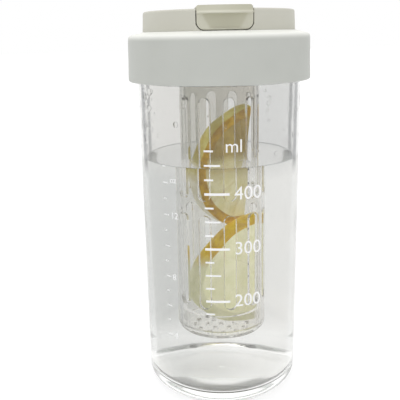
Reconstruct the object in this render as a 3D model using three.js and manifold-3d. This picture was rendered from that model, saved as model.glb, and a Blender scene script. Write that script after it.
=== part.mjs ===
// Infuser tumbler: a clear drinking cup, a screw-on lid with a flip-top spout,
// and a slotted infuser that hangs from the lid. Millimetres, +Z up.
// The cup stands on z = 0 about the Z axis, and the thumb tab of the flip cap faces -Y.
import * as THREE from "three";
import { mergeVertices } from "three/addons/utils/BufferGeometryUtils.js";
import Module from "manifold-3d";

const wasm = await Module();
wasm.setup();

// Fits
const SEAT_GAP = 0.3; // between pieces that rest on or in each other
const SWING_GAP = 0.4; // between the flip cap and the channel that it swings in

// Cup
const CUP_RADIUS = 38;
const CUP_WALL = 2.5;
const CUP_BODY_HEIGHT = 152; // from the table to the foot of the neck
const CUP_FLOOR = 5; // height of the inner floor
const CUP_CORNER = 6.8; // outer radius where the wall turns into the base
const CUP_INNER_CORNER = 7;
const FOOT_RECESS_RADIUS = 24.5;
const FOOT_RECESS_DEPTH = 0.8;
const GATE_RADIUS = 1.5; // moulding mark in the middle of the base
const GATE_HEIGHT = 0.3;
const NECK_RADIUS = 37;
const NECK_WALL = 2.4;
const NECK_HEIGHT = 14;
const NECK_BORE_RISE = 0.6; // from the foot of the neck to where the bore starts to narrow
const NECK_LEAD = 1.8; // height of the slope from the cup's bore to the neck's
const RIM_ROUND = 0.8;

// Screw thread between the cup and the lid
const THREAD_STARTS = 4;
const THREAD_LEAD = 24;
const THREAD_DEPTH = 1.2;
const THREAD_ROOT_WIDTH = 2.2;
const THREAD_CREST_WIDTH = 1.2;
const THREAD_CLEARANCE = 0.4; // crest to root
const FLANK_CLEARANCE = 0.35;
const CUP_THREAD_RISE = 3.6; // from the foot of the neck to the middle of a ridge's low end
const CUP_THREAD_ARC = 110; // degrees of turn in one ridge
const LID_THREAD_LAG = 20; // degrees from a cup ridge's low end to its lid ridge's low end
const LID_THREAD_ARC = 90;
const THREAD_RUN_OUT = 12; // degrees over which a ridge fades in and out

// Lid: gasket, threaded liner, outer collar and raised dome
const GASKET_INNER_RADIUS = 34.5;
const GASKET_OUTER_RADIUS = 37.4;
const GASKET_THICKNESS = 2;
const LINER_WALL = 1.7;
const LINER_PLATE = 2;
const LINER_SKIRT_LIFT = 0.9; // from the foot of the neck to the liner's lower edge
const SEAL_SKIRT_WALL = 1.6;
const SEAL_SKIRT_DEPTH = 2.5; // how far it reaches below the cup's rim
const COLLAR_WALL = 1.75;
const COLLAR_TOP = 2.9;
const COLLAR_OPENING = 33;
const COLLAR_DRAFT = 0.6; // how much narrower the collar is at its top
const COLLAR_SHOULDER = 2; // radius of the collar's upper edge
const COLLAR_SLOPE = 0.9; // rise of the collar's top from its edge to the dome
const COLLAR_FOOT_ROUND = 0.75;
const DOME_RADIUS = 34.95;
const DOME_DRAFT = 0.4;
const DOME_HEIGHT = 8.7;
const DOME_EDGE = 1;
const DOME_WALL = 2.2;
const DOME_SPIGOT_WALL = 2;
const DISH_RADIUS = 30.5;
const DISH_DEPTH = 0.4;

// Drinking spout and air vent on the liner
const SPOUT_OFFSET = 24.2; // from the axis to the spout
const SPOUT_BORE = 4;
const SPOUT_WALL = 1.6;
const SPOUT_RISE = 3.3; // above the channel floor
const VENT_OFFSET = 11;
const VENT_BORE = 1.2;
const VENT_WALL = 1.2;

// Flip cap, its channel, its pin and its silicone seal
const CAP_WIDTH = 23.2;
const CAP_THICKNESS = 3;
const CAP_RISE = 1.4; // above the dome's rim
const CAP_EDGE = 1;
const CAP_LIP_WALL = 2.8;
const CAP_LIP_CLEAR = 0.3; // from the dome's foot to the lip's lower edge
const CAP_LIP_CORNER = 3.2;
const CAP_LIP_ROUND = 0.4;
const CAP_NOSE = 0.6; // how far the thumb nose stands out from the dome's wall
const CAP_NOSE_DROP = 2.9; // from the cap's top to the tip of the nose
const CAP_NOSE_TIP = 0.5; // thickness of the nose's edge
const CAP_BEVEL = 2.6; // run of the sloped front of the cap's top
const THUMB_TOP_DEPTH = 1.5; // depth of the thumb facet under the nose
const THUMB_FOOT_DEPTH = 0.8; // and at its lower end
const THUMB_FOOT_RISE = 0.6; // from the lip's lower edge to the facet
const CAP_ANGLE = 130; // degrees that the cap opens
const HINGE_OFFSET = 9; // from the axis back to the hinge
const HINGE_DROP = 2.2; // from the dome's rim down to the hinge axis
const PIN_RADIUS = 0.75;
const PIN_LENGTH = 30.4;
const BOSS_WALL = 1.1;
const CHANNEL_WALL = 1.8;
const CHANNEL_BACK_WALL = 5;
const SEAL_RADIUS = 5;
const SEAL_THICKNESS = 0.9;
const SEAL_PLUG_DEPTH = 2.6;
const SEAL_PLUG_CLEARANCE = 0.4;
const SEAL_PLUG_TAPER = 0.4;
const VENT_PLUG_CLEARANCE = 0.35;
const VENT_PLUG_TAPER = 0.15;
const SEAL_PEG_RADIUS = 1.5;
const SEAL_PEG_DEPTH = 1.6;

// Infuser
const INFUSER_RADIUS = 19;
const INFUSER_WALL = 1.8;
const INFUSER_TUBE_LENGTH = 137;
const INFUSER_SPIGOT_WALL = 1.8;
const INFUSER_SPIGOT_DEPTH = 10;
const SLOT_COUNT = 10;
const SLOT_WIDTH = 5.3;
const SLOT_PHASE = 9; // degrees from the front to the first slot
const INFUSER_TOP_BAND = 23.1; // plain tube above the upper slots
const UPPER_SLOT_LENGTH = 47.2;
const SLOT_BRIDGE = 7.1;
const INFUSER_FOOT_BAND = 12.1; // plain tube below the lower slots
const SLOT_FLAT = 0.01; // straight left at a slot's rounded end
const STRAINER_CORNER = 3.8; // radius of the strainer's lower edge
const STRAINER_LIP = 0.2; // straight rim above that edge
const STRAINER_FLOOR = 2;
const STRAINER_WALL = 1.6;
const STRAINER_REACH = 8; // how far the strainer plugs into the tube
const DRAIN_RADIUS = 1.3;
const DRAIN_RINGS = [
  { radius: 6, count: 6 },
  { radius: 11.2, count: 12 },
];

// Facets
const ROUND_SEGMENTS = 72;
const TUBE_SEGMENTS = 60;
const SMALL_SEGMENTS = 24;
const DRAIN_SEGMENTS = 10;
const ARC_STEPS = 5;
const SMALL_ARC_STEPS = 3;
const REACH = 1; // how far a cutter runs past what it cuts
const WELD_DISTANCE = 1e-4; // corners closer than this are one

// Fits worked out from the driving dimensions
const CUP_BORE = CUP_RADIUS - CUP_WALL;
const NECK_BORE = NECK_RADIUS - NECK_WALL;
const RIM_HEIGHT = CUP_BODY_HEIGHT + NECK_HEIGHT;
const LINER_BORE = NECK_RADIUS + THREAD_DEPTH + THREAD_CLEARANCE;
const LINER_RADIUS = LINER_BORE + LINER_WALL;
const COLLAR_BORE = LINER_RADIUS + SEAT_GAP;
const COLLAR_RADIUS = COLLAR_BORE + COLLAR_WALL;
const SEAL_SKIRT_RADIUS = GASKET_INNER_RADIUS - SEAT_GAP;
const DOME_SPIGOT_RADIUS = COLLAR_OPENING - SEAT_GAP;
const SPOUT_RADIUS = SPOUT_BORE + SPOUT_WALL;
const VENT_RADIUS = VENT_BORE + VENT_WALL;
const INFUSER_BORE = INFUSER_RADIUS - INFUSER_WALL;
const PIN_BORE = PIN_RADIUS + SEAT_GAP;
const CHANNEL_HALF = CAP_WIDTH / 2 + SWING_GAP;

// Heights in the lid's frame, whose zero is the cup's rim
const PLATE_BOTTOM = SEAT_GAP + GASKET_THICKNESS + SEAT_GAP;
const PLATE_TOP = PLATE_BOTTOM + LINER_PLATE;
const COLLAR_BOTTOM = SEAT_GAP - NECK_HEIGHT;
const COLLAR_ROOF = PLATE_TOP + SEAT_GAP;
const COLLAR_CROWN = COLLAR_ROOF + COLLAR_TOP;
const DOME_FOOT = COLLAR_CROWN + SEAT_GAP;
const DOME_TOP = DOME_FOOT + DOME_HEIGHT;
const DOME_ROOF = DOME_TOP - DISH_DEPTH - DOME_WALL;
const CAP_TOP = DOME_TOP + CAP_RISE;
const CAP_UNDERSIDE = CAP_TOP - CAP_THICKNESS;
const HINGE_HEIGHT = DOME_TOP - HINGE_DROP;
const BARREL_RADIUS = CAP_TOP - HINGE_HEIGHT;
const SEAL_TOP = CAP_UNDERSIDE - SEAT_GAP;
const SPOUT_RIM = SEAL_TOP - SEAL_THICKNESS - SEAT_GAP;
const CHANNEL_FLOOR = SPOUT_RIM - SPOUT_RISE;
const LIP_BOTTOM = DOME_FOOT + CAP_LIP_CLEAR;
const LIP_BORE = DOME_RADIUS - CAP_LIP_WALL;
const CHANNEL_FRONT = LIP_BORE - SWING_GAP;
const CHANNEL_BACK = HINGE_OFFSET + BARREL_RADIUS + SWING_GAP;

// A closed three.js geometry as a solid for joining and cutting.
function solidOf(geometry) {
  const bare = new THREE.BufferGeometry();
  bare.setAttribute("position", geometry.getAttribute("position").clone());
  bare.setIndex(geometry.index);
  const merged = mergeVertices(bare, WELD_DISTANCE);
  const corners = merged.index.array;
  const triVerts = [];
  for (let i = 0; i < corners.length; i += 3) {
    const [a, b, c] = corners.subarray(i, i + 3);
    if (a !== b && b !== c && c !== a) triVerts.push(a, b, c);
  }
  return new wasm.Manifold(
    new wasm.Mesh({
      numProp: 3,
      vertProperties: merged.attributes.position.array,
      triVerts: new Uint32Array(triVerts),
    }),
  );
}

// A finished solid as a three.js geometry.
function geometryOf(solid) {
  const mesh = solid.getMesh();
  const geometry = new THREE.BufferGeometry();
  geometry.setAttribute("position", new THREE.BufferAttribute(mesh.vertProperties, 3));
  geometry.setIndex(new THREE.BufferAttribute(mesh.triVerts, 1));
  geometry.computeVertexNormals();
  return geometry;
}

// Points of a quarter turn about (r, z), from one angle to another in degrees.
function arc(r, z, radius, from, to, steps = ARC_STEPS) {
  return Array.from({ length: steps + 1 }, (_, i) => {
    const angle = THREE.MathUtils.degToRad(from + ((to - from) * i) / steps);
    return [r + radius * Math.cos(angle), z + radius * Math.sin(angle)];
  });
}

// A solid turned about Z from [radius, height] points, listed anticlockwise round the section.
function turned(points, segments = ROUND_SEGMENTS) {
  const onAxis = points[0][0] === 0 && points.at(-1)[0] === 0;
  const profile = onAxis ? points : [...points, points[0]];
  const lathe = new THREE.LatheGeometry(
    profile.map(([r, z]) => new THREE.Vector2(r, z)),
    segments,
  );
  return solidOf(lathe.rotateX(Math.PI / 2));
}

// A plain round bar along Z between two heights.
function bar(radius, low, high, segments = SMALL_SEGMENTS) {
  return turned([[0, low], [radius, low], [radius, high], [0, high]], segments);
}

// A box between two corners.
function block(low, high) {
  const size = high.map((value, axis) => value - low[axis]);
  const box = new THREE.BoxGeometry(...size);
  box.translate(...low.map((value, axis) => value + size[axis] / 2));
  return solidOf(box);
}

// A shape drawn in X and Z, stretched along Y between two places.
function alongY(shape, low, high, curveSegments = ARC_STEPS) {
  const prism = new THREE.ExtrudeGeometry(shape, {
    depth: high - low,
    bevelEnabled: false,
    curveSegments,
  });
  prism.rotateX(Math.PI / 2).translate(0, high, 0);
  return solidOf(prism);
}

// A polygon of [y, z] points, stretched along X by half on each side.
function alongX(points, half) {
  const shape = new THREE.Shape(points.map(([y, z]) => new THREE.Vector2(y, z)));
  const prism = new THREE.ExtrudeGeometry(shape, { depth: 2 * half, bevelEnabled: false });
  prism.translate(0, 0, -half);
  const [x, y, z] = [new THREE.Vector3(1, 0, 0), new THREE.Vector3(0, 1, 0), new THREE.Vector3(0, 0, 1)];
  prism.applyMatrix4(new THREE.Matrix4().makeBasis(y, z, x));
  return solidOf(prism);
}

// A bar turned about Z, laid along X.
function laidAlongX(solid) {
  return solid.rotate([0, 90, 0]);
}

// A rectangle in X and Z with its own radius on the upper and on the lower corners.
function roundedOutline(half, low, high, upper, lower) {
  const shape = new THREE.Shape();
  shape.moveTo(-half + lower, low);
  shape.lineTo(half - lower, low);
  shape.absarc(half - lower, low + lower, lower, -Math.PI / 2, 0, false);
  shape.lineTo(half, high - upper);
  shape.absarc(half - upper, high - upper, upper, 0, Math.PI / 2, false);
  shape.lineTo(-half + upper, high);
  shape.absarc(-half + upper, high - upper, upper, Math.PI / 2, Math.PI, false);
  shape.lineTo(-half, low + lower);
  shape.absarc(-half + lower, low + lower, lower, Math.PI, 1.5 * Math.PI, false);
  return shape;
}

// One thread ridge: a trapezoid swept up a helix, standing out from rootRadius by depth
// (inwards if depth is negative) and sunk a little into the wall that carries it.
function threadRidge(rootRadius, depth, startAngle, startHeight, turn) {
  const steps = Math.round((turn * ROUND_SEGMENTS) / 360);
  const sunk = rootRadius - Math.sign(depth) * THREAD_CLEARANCE;
  const vertices = [];
  for (let i = 0; i <= steps; i++) {
    const along = (turn * i) / steps;
    const fade = Math.min(1, along / THREAD_RUN_OUT, (turn - along) / THREAD_RUN_OUT);
    const angle = THREE.MathUtils.degToRad(startAngle + along);
    const middle = startHeight + (THREAD_LEAD * along) / 360;
    const crest = rootRadius + depth * fade;
    const section = [
      [sunk, -THREAD_ROOT_WIDTH / 2],
      [rootRadius, -THREAD_ROOT_WIDTH / 2],
      [crest, -THREAD_CREST_WIDTH / 2],
      [crest, THREAD_CREST_WIDTH / 2],
      [rootRadius, THREAD_ROOT_WIDTH / 2],
      [sunk, THREAD_ROOT_WIDTH / 2],
    ];
    for (const [radius, lift] of section)
      vertices.push(radius * Math.cos(angle), radius * Math.sin(angle), middle + lift);
  }
  const sides = 6;
  const faces = [];
  for (let i = 0; i < steps; i++)
    for (let k = 0; k < sides; k++) {
      const here = i * sides + k;
      const next = i * sides + ((k + 1) % sides);
      faces.push(here, here + sides, next, next, here + sides, next + sides);
    }
  const last = steps * sides;
  for (let k = 1; k < sides - 1; k++) {
    faces.push(0, k, k + 1);
    faces.push(last, last + k + 1, last + k);
  }
  if (depth < 0) faces.reverse();
  const ridge = new THREE.BufferGeometry();
  ridge.setAttribute("position", new THREE.Float32BufferAttribute(vertices, 3));
  ridge.setIndex(faces);
  return solidOf(ridge);
}

// All starts of a thread, joined to the solid that carries them.
function withThread(solid, rootRadius, depth, startAngle, startHeight, turn) {
  let threaded = solid;
  for (let start = 0; start < THREAD_STARTS; start++) {
    const angle = startAngle + (360 * start) / THREAD_STARTS;
    threaded = threaded.add(threadRidge(rootRadius, depth, angle, startHeight, turn));
  }
  return threaded;
}

// Clear cup: thick base with a recessed foot, straight wall, threaded neck.
function cupBody() {
  const shoulder = CUP_RADIUS - NECK_RADIUS;
  const recessEdge = FOOT_RECESS_RADIUS - FOOT_RECESS_DEPTH;
  const slopeFoot = CUP_BODY_HEIGHT + NECK_BORE_RISE;
  const wall = turned([
    [0, FOOT_RECESS_DEPTH - GATE_HEIGHT],
    [GATE_RADIUS, FOOT_RECESS_DEPTH - GATE_HEIGHT],
    [GATE_RADIUS + GATE_HEIGHT, FOOT_RECESS_DEPTH],
    [recessEdge, FOOT_RECESS_DEPTH],
    [FOOT_RECESS_RADIUS, 0],
    ...arc(CUP_RADIUS - CUP_CORNER, CUP_CORNER, CUP_CORNER, -90, 0),
    [CUP_RADIUS, CUP_BODY_HEIGHT - shoulder],
    [NECK_RADIUS, CUP_BODY_HEIGHT],
    ...arc(NECK_RADIUS - RIM_ROUND, RIM_HEIGHT - RIM_ROUND, RIM_ROUND, 0, 90, SMALL_ARC_STEPS),
    ...arc(NECK_BORE + RIM_ROUND, RIM_HEIGHT - RIM_ROUND, RIM_ROUND, 90, 180, SMALL_ARC_STEPS),
    [NECK_BORE, slopeFoot + NECK_LEAD],
    [CUP_BORE, slopeFoot],
    ...arc(CUP_BORE - CUP_INNER_CORNER, CUP_FLOOR + CUP_INNER_CORNER, CUP_INNER_CORNER, 0, -90),
    [0, CUP_FLOOR],
  ]);
  const ridgeStart = CUP_BODY_HEIGHT + CUP_THREAD_RISE;
  return withThread(wall, NECK_RADIUS, THREAD_DEPTH, 0, ridgeStart, CUP_THREAD_ARC);
}

// Silicone ring between the cup's rim and the liner.
function gasket() {
  return turned([
    [GASKET_INNER_RADIUS, SEAT_GAP],
    [GASKET_OUTER_RADIUS, SEAT_GAP],
    [GASKET_OUTER_RADIUS, SEAT_GAP + GASKET_THICKNESS],
    [GASKET_INNER_RADIUS, SEAT_GAP + GASKET_THICKNESS],
  ]);
}

// A hollow chimney on the liner's plate, up to the height that the seal closes.
function chimney(offset, radius) {
  const round = SPOUT_WALL / 2;
  const stem = turned(
    [
      [0, PLATE_BOTTOM],
      [radius, PLATE_BOTTOM],
      ...arc(radius - round, SPOUT_RIM - round, round, 0, 90, SMALL_ARC_STEPS),
      [0, SPOUT_RIM],
    ],
    SMALL_SEGMENTS,
  );
  return stem.translate([0, -offset, 0]);
}

// Inner lid: threaded skirt, seal skirt, infuser spigot, drinking spout and air vent.
function lidLiner() {
  const skirtBottom = LINER_SKIRT_LIFT - NECK_HEIGHT;
  const sealBore = SEAL_SKIRT_RADIUS - SEAL_SKIRT_WALL;
  const spigotRadius = INFUSER_BORE - SEAT_GAP;
  const spigotBore = spigotRadius - INFUSER_SPIGOT_WALL;
  const spigotBottom = PLATE_BOTTOM - INFUSER_SPIGOT_DEPTH;
  const lead = SEAT_GAP; // small lead-in chamfers
  const shell = turned([
    [0, PLATE_BOTTOM],
    [spigotBore, PLATE_BOTTOM],
    [spigotBore, spigotBottom],
    [spigotRadius - lead, spigotBottom],
    [spigotRadius, spigotBottom + lead],
    [spigotRadius, PLATE_BOTTOM],
    [sealBore, PLATE_BOTTOM],
    [sealBore, -SEAL_SKIRT_DEPTH],
    [SEAL_SKIRT_RADIUS - lead, -SEAL_SKIRT_DEPTH],
    [SEAL_SKIRT_RADIUS, lead - SEAL_SKIRT_DEPTH],
    [SEAL_SKIRT_RADIUS, PLATE_BOTTOM],
    [LINER_BORE, PLATE_BOTTOM],
    [LINER_BORE, skirtBottom + lead],
    [LINER_BORE + lead, skirtBottom],
    [LINER_RADIUS, skirtBottom],
    [LINER_RADIUS, PLATE_TOP],
    [0, PLATE_TOP],
  ]);
  const flank = (THREAD_ROOT_WIDTH + THREAD_CREST_WIDTH) / 2;
  const overlap = ((THREAD_ROOT_WIDTH - THREAD_CREST_WIDTH) * THREAD_CLEARANCE) / THREAD_DEPTH / 2;
  const drop = flank - overlap + FLANK_CLEARANCE;
  const lagRise = (THREAD_LEAD * LID_THREAD_LAG) / 360;
  const ridgeStart = CUP_THREAD_RISE - NECK_HEIGHT + lagRise - drop;
  const through = [PLATE_BOTTOM - REACH, SPOUT_RIM + REACH];
  return withThread(shell, LINER_BORE, -THREAD_DEPTH, LID_THREAD_LAG, ridgeStart, LID_THREAD_ARC)
    .add(chimney(SPOUT_OFFSET, SPOUT_RADIUS))
    .add(chimney(VENT_OFFSET, VENT_RADIUS))
    .subtract(bar(SPOUT_BORE, ...through).translate([0, -SPOUT_OFFSET, 0]))
    .subtract(bar(VENT_BORE, ...through).translate([0, -VENT_OFFSET, 0]));
}

// Outer collar: the smooth ring that the hand turns.
function lidCollar() {
  const shoulder = COLLAR_RADIUS - COLLAR_DRAFT - COLLAR_SHOULDER;
  const edge = COLLAR_CROWN - COLLAR_SLOPE;
  const foot = COLLAR_BOTTOM + COLLAR_FOOT_ROUND;
  return turned([
    [COLLAR_OPENING, COLLAR_ROOF],
    [COLLAR_BORE, COLLAR_ROOF],
    [COLLAR_BORE, foot],
    [COLLAR_BORE + SEAT_GAP, COLLAR_BOTTOM],
    ...arc(COLLAR_RADIUS - COLLAR_FOOT_ROUND, foot, COLLAR_FOOT_ROUND, -90, 0, SMALL_ARC_STEPS),
    ...arc(shoulder, edge - COLLAR_SHOULDER, COLLAR_SHOULDER, 0, 90),
    [DOME_RADIUS + SEAT_GAP, COLLAR_CROWN],
    [COLLAR_OPENING, COLLAR_CROWN],
  ]);
}

// The wedge that the open flip cap leans into, behind its hinge.
function capRest() {
  const angle = THREE.MathUtils.degToRad(CAP_ANGLE);
  const reach = BARREL_RADIUS + SWING_GAP;
  const wall = CHANNEL_BACK - HINGE_OFFSET;
  const top = DOME_TOP - HINGE_HEIGHT + REACH;
  const near = wall - REACH;
  const ramp = [
    [near, (Math.sin(angle) * near - reach) / -Math.cos(angle)],
    [(reach - Math.cos(angle) * top) / Math.sin(angle), top],
    [near, top],
  ];
  return alongX(ramp, CHANNEL_HALF).translate([0, HINGE_OFFSET, HINGE_HEIGHT]);
}

// Raised dome: a shallow shell with a sunk channel for the flip cap and bosses for its pin.
function lidDome() {
  const spigotBore = DOME_SPIGOT_RADIUS - DOME_SPIGOT_WALL;
  const wallBore = DOME_RADIUS - DOME_WALL;
  const ledge = DOME_FOOT + DOME_WALL;
  const edgeRadius = DOME_RADIUS - DOME_DRAFT - DOME_EDGE;
  const shell = turned([
    [0, DOME_ROOF],
    [wallBore, DOME_ROOF],
    [wallBore, ledge],
    [spigotBore, ledge],
    [spigotBore, PLATE_TOP + SEAT_GAP],
    [DOME_SPIGOT_RADIUS, PLATE_TOP + SEAT_GAP],
    [DOME_SPIGOT_RADIUS, DOME_FOOT],
    [DOME_RADIUS, DOME_FOOT],
    ...arc(edgeRadius, DOME_TOP - DOME_EDGE, DOME_EDGE, 0, 90),
    [DISH_RADIUS, DOME_TOP],
    [DISH_RADIUS - DISH_DEPTH, DOME_TOP - DISH_DEPTH],
    [0, DOME_TOP - DISH_DEPTH],
  ]);
  const troughHalf = CHANNEL_HALF + CHANNEL_WALL;
  const troughBottom = CHANNEL_FLOOR - CHANNEL_WALL;
  const buried = DOME_ROOF + DOME_WALL / 2;
  const troughBack = CHANNEL_BACK + CHANNEL_BACK_WALL;
  const front = bar(CHANNEL_FRONT, troughBottom - REACH, CAP_TOP + REACH, ROUND_SEGMENTS);
  const trough = block(
    [-troughHalf, -DOME_RADIUS, troughBottom],
    [troughHalf, troughBack, buried],
  ).intersect(front);
  const bossHalf = PIN_LENGTH / 2 + SEAT_GAP + BOSS_WALL;
  const bossReach = PIN_BORE + 2 * BOSS_WALL;
  const bosses = block(
    [-bossHalf, HINGE_OFFSET - bossReach, HINGE_HEIGHT - bossReach],
    [bossHalf, HINGE_OFFSET + bossReach, buried],
  );
  const above = CAP_TOP + REACH;
  const outside = -COLLAR_RADIUS;
  const channel = block([-CHANNEL_HALF, outside, CHANNEL_FLOOR], [CHANNEL_HALF, CHANNEL_BACK, above]);
  const notchOutline = roundedOutline(
    CHANNEL_HALF,
    LIP_BOTTOM - SWING_GAP,
    above,
    CAP_EDGE,
    CAP_LIP_CORNER + SWING_GAP,
  );
  const notch = alongY(notchOutline, outside, -HINGE_OFFSET).subtract(front);
  const floorCut = [troughBottom - REACH, CHANNEL_FLOOR + REACH];
  const spoutHole = bar(SPOUT_RADIUS + SEAT_GAP, ...floorCut).translate([0, -SPOUT_OFFSET, 0]);
  const ventHole = bar(VENT_RADIUS + SEAT_GAP, ...floorCut).translate([0, -VENT_OFFSET, 0]);
  const pinHalf = PIN_LENGTH / 2 + SEAT_GAP;
  const pinHole = laidAlongX(bar(PIN_BORE, -pinHalf, pinHalf)).translate([0, HINGE_OFFSET, HINGE_HEIGHT]);
  return shell
    .add(trough)
    .add(bosses)
    .subtract(channel)
    .subtract(notch)
    .subtract(capRest())
    .subtract(spoutHole)
    .subtract(ventHole)
    .subtract(pinHole);
}

// Flip cap in its hinge's frame: strap, hinge barrel and a down-turned thumb lip.
function flipCap() {
  const half = CAP_WIDTH / 2;
  const noseHeight = CAP_TOP - CAP_NOSE_DROP;
  const nose = DOME_RADIUS + CAP_NOSE;
  const bevelRadius = nose - CAP_BEVEL;
  const lipRing = turned([
    [LIP_BORE, LIP_BOTTOM],
    [DOME_RADIUS - CAP_LIP_ROUND, LIP_BOTTOM],
    [DOME_RADIUS, LIP_BOTTOM + CAP_LIP_ROUND],
    [DOME_RADIUS, noseHeight - CAP_NOSE_TIP],
    [nose, noseHeight - CAP_NOSE_TIP],
    [nose, noseHeight],
    [bevelRadius, CAP_TOP],
    [LIP_BORE, CAP_TOP],
  ]);
  const facetTop = noseHeight - CAP_NOSE_TIP;
  const facetFoot = LIP_BOTTOM + THUMB_FOOT_RISE;
  const facet = alongX(
    [
      [-COLLAR_RADIUS, facetFoot - THUMB_FOOT_RISE],
      [THUMB_FOOT_DEPTH - DOME_RADIUS, facetFoot],
      [THUMB_TOP_DEPTH - DOME_RADIUS, facetTop - CAP_NOSE_TIP],
      [THUMB_TOP_DEPTH - DOME_RADIUS, facetTop],
      [-COLLAR_RADIUS, facetTop],
    ],
    half,
  );
  const lipOutline = roundedOutline(half, LIP_BOTTOM, CAP_TOP, CAP_EDGE, CAP_LIP_CORNER);
  const lip = lipRing.intersect(alongY(lipOutline, -COLLAR_RADIUS, -HINGE_OFFSET)).subtract(facet);
  const strapSection = roundedOutline(half, CAP_UNDERSIDE, CAP_TOP, CAP_EDGE, SEAT_GAP);
  const front = bar(bevelRadius, CAP_UNDERSIDE - REACH, CAP_TOP + REACH, ROUND_SEGMENTS);
  const strap = alongY(strapSection, -DOME_RADIUS, HINGE_OFFSET).intersect(front);
  const barrel = laidAlongX(
    turned(
      [
        [0, -half],
        [BARREL_RADIUS - CAP_EDGE, -half],
        [BARREL_RADIUS, CAP_EDGE - half],
        [BARREL_RADIUS, half - CAP_EDGE],
        [BARREL_RADIUS - CAP_EDGE, half],
        [0, half],
      ],
      SMALL_SEGMENTS,
    ),
  );
  const pinHole = laidAlongX(bar(PIN_BORE, -half - REACH, half + REACH));
  const pegHole = bar(SEAL_PEG_RADIUS + SEAT_GAP, CAP_UNDERSIDE - REACH, CAP_UNDERSIDE + SEAL_PEG_DEPTH);
  return strap
    .add(lip)
    .subtract(pegHole.translate([0, -SPOUT_OFFSET, 0]))
    .subtract(pegHole.translate([0, -VENT_OFFSET, 0]))
    .translate([0, -HINGE_OFFSET, -HINGE_HEIGHT])
    .add(barrel)
    .subtract(pinHole);
}

// Steel hinge pin in its own frame, along X.
function flipPin() {
  return laidAlongX(bar(PIN_RADIUS, -PIN_LENGTH / 2, PIN_LENGTH / 2));
}

// A tapered stopper with a holding peg above it, for one chimney.
function stopper(offset, radius, taper) {
  const pegTop = CAP_UNDERSIDE + SEAL_PEG_DEPTH - SEAT_GAP;
  const padBottom = SEAL_TOP - SEAL_THICKNESS;
  const buried = padBottom + SEAL_THICKNESS / 2;
  const tip = padBottom - SEAL_PLUG_DEPTH;
  const plug = turned([[0, tip], [radius - taper, tip], [radius, buried], [0, buried]], SMALL_SEGMENTS);
  return plug.add(bar(SEAL_PEG_RADIUS, buried, pegTop)).translate([0, -offset, 0]);
}

// Silicone seal under the flip cap, in the hinge's frame: one pad with two stoppers.
function spoutSeal() {
  const padBottom = SEAL_TOP - SEAL_THICKNESS;
  const pad = block([-SEAL_RADIUS, -SPOUT_OFFSET, padBottom], [SEAL_RADIUS, -VENT_OFFSET, SEAL_TOP])
    .add(bar(SEAL_RADIUS, padBottom, SEAL_TOP).translate([0, -SPOUT_OFFSET, 0]))
    .add(bar(SEAL_RADIUS, padBottom, SEAL_TOP).translate([0, -VENT_OFFSET, 0]));
  return pad
    .add(stopper(SPOUT_OFFSET, SPOUT_BORE - SEAL_PLUG_CLEARANCE, SEAL_PLUG_TAPER))
    .add(stopper(VENT_OFFSET, VENT_BORE - VENT_PLUG_CLEARANCE, VENT_PLUG_TAPER))
    .translate([0, -HINGE_OFFSET, -HINGE_HEIGHT]);
}

// One tier of slots, each cutter going through both sides of the tube.
function slotTier(top, length) {
  const half = SLOT_WIDTH / 2;
  const end = half - SLOT_FLAT;
  const outline = roundedOutline(half, top - length, top, end, end);
  const cutter = alongY(outline, -INFUSER_RADIUS - REACH, INFUSER_RADIUS + REACH);
  let tier = cutter.rotate([0, 0, SLOT_PHASE]);
  for (let i = 1; i < SLOT_COUNT / 2; i++)
    tier = tier.add(cutter.rotate([0, 0, SLOT_PHASE + (360 * i) / SLOT_COUNT]));
  return tier;
}

// Infuser tube, hanging down from its own top end.
function infuserTube() {
  const upperTop = -INFUSER_TOP_BAND;
  const lowerTop = upperTop - UPPER_SLOT_LENGTH - SLOT_BRIDGE;
  const lowerLength = lowerTop + INFUSER_TUBE_LENGTH - INFUSER_FOOT_BAND;
  const section = [
    [INFUSER_BORE, -INFUSER_TUBE_LENGTH],
    [INFUSER_RADIUS, -INFUSER_TUBE_LENGTH],
    [INFUSER_RADIUS, 0],
    [INFUSER_BORE, 0],
  ];
  return turned(section, TUBE_SEGMENTS)
    .subtract(slotTier(upperTop, UPPER_SLOT_LENGTH))
    .subtract(slotTier(lowerTop, lowerLength));
}

// Strainer that plugs the tube's lower end, in the tube's frame, with drain holes in its floor.
function infuserStrainer() {
  const seat = -INFUSER_TUBE_LENGTH - SEAT_GAP;
  const bottom = seat - STRAINER_LIP - STRAINER_CORNER;
  const plugRadius = INFUSER_BORE - SEAT_GAP;
  const plugBore = plugRadius - STRAINER_WALL;
  const plugTop = seat + STRAINER_REACH;
  const floorTop = bottom + STRAINER_FLOOR;
  const section = [
    [0, bottom],
    ...arc(INFUSER_RADIUS - STRAINER_CORNER, bottom + STRAINER_CORNER, STRAINER_CORNER, -90, 0),
    [INFUSER_RADIUS, seat],
    [plugRadius, seat],
    [plugRadius, plugTop],
    [plugBore, plugTop],
    [plugBore, floorTop],
    [0, floorTop],
  ];
  let strainer = turned(section, TUBE_SEGMENTS);
  const drain = bar(DRAIN_RADIUS, bottom - REACH, floorTop + REACH, DRAIN_SEGMENTS);
  strainer = strainer.subtract(drain);
  for (const { radius, count } of DRAIN_RINGS)
    for (let i = 0; i < count; i++) {
      const angle = (2 * Math.PI * i) / count;
      strainer = strainer.subtract(drain.translate([radius * Math.cos(angle), radius * Math.sin(angle), 0]));
    }
  return strainer;
}

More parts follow.
